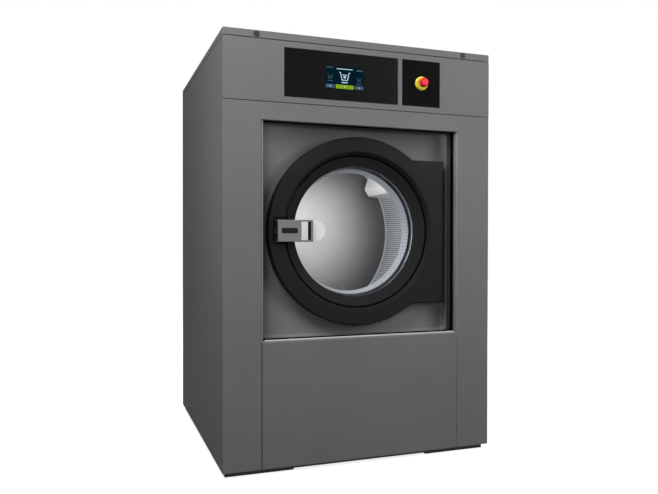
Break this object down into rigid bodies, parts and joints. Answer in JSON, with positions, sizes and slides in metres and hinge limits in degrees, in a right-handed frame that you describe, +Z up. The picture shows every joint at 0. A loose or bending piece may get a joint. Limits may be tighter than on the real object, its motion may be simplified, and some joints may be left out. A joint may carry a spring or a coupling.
{
  "type": "industrial front-loading washing machine",
  "caption": "Floor-standing front-loading laundry washer with a round porthole door, perforated steel drum on springs, touch control panel and emergency stop.",
  "frame": {"origin": "middle of the footprint on the floor, under the centre of the overall box", "axes": "+Z up, -Y out of the front where the door is, +X to the right of somebody who faces the front"},
  "size_m": [0.98, 1.034, 1.445],
  "materials": {
    "cabinet_paint": "satin",
    "pan_paint": "satin",
    "base_paint": "matte",
    "frame_paint": "satin",
    "handle_paint": "satin",
    "black_rubber": "matte",
    "black_glass": "gloss",
    "clear_glass": "gloss",
    "screen": "gloss",
    "black_plastic": "satin",
    "stainless": "satin",
    "bright_steel": "satin",
    "cast_metal": "matte",
    "alloy": "satin",
    "stop_yellow": "gloss",
    "stop_red": "gloss"
  },
  "bodies": {
    "cabinet": {"base_skids": "base_paint", "base_cross_beams": "base_paint", "floor_pads": "black_rubber", "corner_posts": "base_paint", "left_side_panel": "cabinet_paint", "right_side_panel": "cabinet_paint", "rear_panel": "cabinet_paint", "rear_panel_screws": "stainless", "top_cover": "cabinet_paint", "top_cover_caps": "black_plastic", "control_fascia": "cabinet_paint", "header_panel": "cabinet_paint", "lower_front_panel": "cabinet_paint", "display_glass": "black_glass", "touchscreen": "screen", "estop_glass": "black_glass", "estop_collar": "stop_yellow", "estop_contact_block": "black_plastic", "electronics_box": "base_paint", "water_inlet_valves": "black_plastic", "fill_hose": "black_rubber", "cable_gland": "black_plastic", "drain_valve": "black_plastic", "drain_hose": "black_rubber", "suspension_springs": "bright_steel", "damper_tubes": "bright_steel"},
    "tub_group": {"recess_pan": "pan_paint", "tub_shell": "stainless", "tub_front": "stainless", "door_seal": "black_rubber", "bearing_housing": "cast_metal", "shaft_bearings": "bright_steel", "tub_cradle": "base_paint", "motor": "cast_metal", "drive_belt": "black_rubber", "damper_rods": "bright_steel", "heater_rods": "stainless", "hinge_brackets": "frame_paint", "hinge_pins": "stainless", "door_lock": "black_plastic"},
    "door": {"door_ring": "black_plastic", "door_inner_ring": "black_plastic", "door_frame": "frame_paint", "door_glass": "clear_glass", "glass_seal": "black_rubber", "handle_backplate": "stainless", "handle_pin": "stainless"},
    "handle": {"handle_lever": "handle_paint", "latch_tongue": "stainless"},
    "drum": {"drum_wall": "stainless", "drum_front": "stainless", "drum_back": "stainless", "drum_lifters": "stainless", "drum_spider": "alloy", "drum_shaft": "bright_steel", "drum_pulley": "alloy"},
    "motor_rotor": {"motor_rotor": "bright_steel"},
    "estop_plunger": {"estop_stem": "bright_steel"},
    "estop_head": {"estop_cap": "stop_red"}
  },
  "joints": [
    {"name": "tub_float", "type": "slide", "parent": "cabinet", "child": "tub_group", "axis": [0, 0, 1], "range_m": [-0.008, 0.008], "stiffness_N_per_m": 120000, "springref_m": 0.01989, "deforming": ["suspension_springs", "drain_hose", "fill_hose"]},
    {"name": "door_swing", "type": "hinge", "parent": "tub_group", "child": "door", "pos_m": [0.3, -0.427, 0.798], "axis": [0, 0, 1], "range_deg": [0, 120]},
    {"name": "handle_pull", "type": "hinge", "parent": "door", "child": "handle", "pos_m": [-0.294, -0.432, 0.798], "axis": [0, 0, -1], "range_deg": [0, 20], "stiffness_Nm_per_rad": 1.5, "springref_deg": -5.73},
    {"name": "drum_spin", "type": "hinge", "parent": "tub_group", "child": "drum", "pos_m": [0, 0, 0.798], "axis": [0, 1, 0], "continuous": true},
    {"name": "motor_spin", "type": "hinge", "parent": "tub_group", "child": "motor_rotor", "pos_m": [0.15, 0, 0.23], "axis": [0, 1, 0], "continuous": true},
    {"name": "estop_press", "type": "slide", "parent": "cabinet", "child": "estop_plunger", "axis": [0, 1, 0], "range_m": [0, 0.005], "stiffness_N_per_m": 1500, "springref_m": -0.003},
    {"name": "estop_twist", "type": "hinge", "parent": "estop_plunger", "child": "estop_head", "pos_m": [0.213, 0, 1.3185], "axis": [0, 1, 0], "range_deg": [0, 45], "stiffness_Nm_per_rad": 0.1, "springref_deg": -5.73}
  ],
  "couplings": [
    {"joint": "motor_spin", "follows": "drum_spin", "ratio": 5.2083}
  ]
}
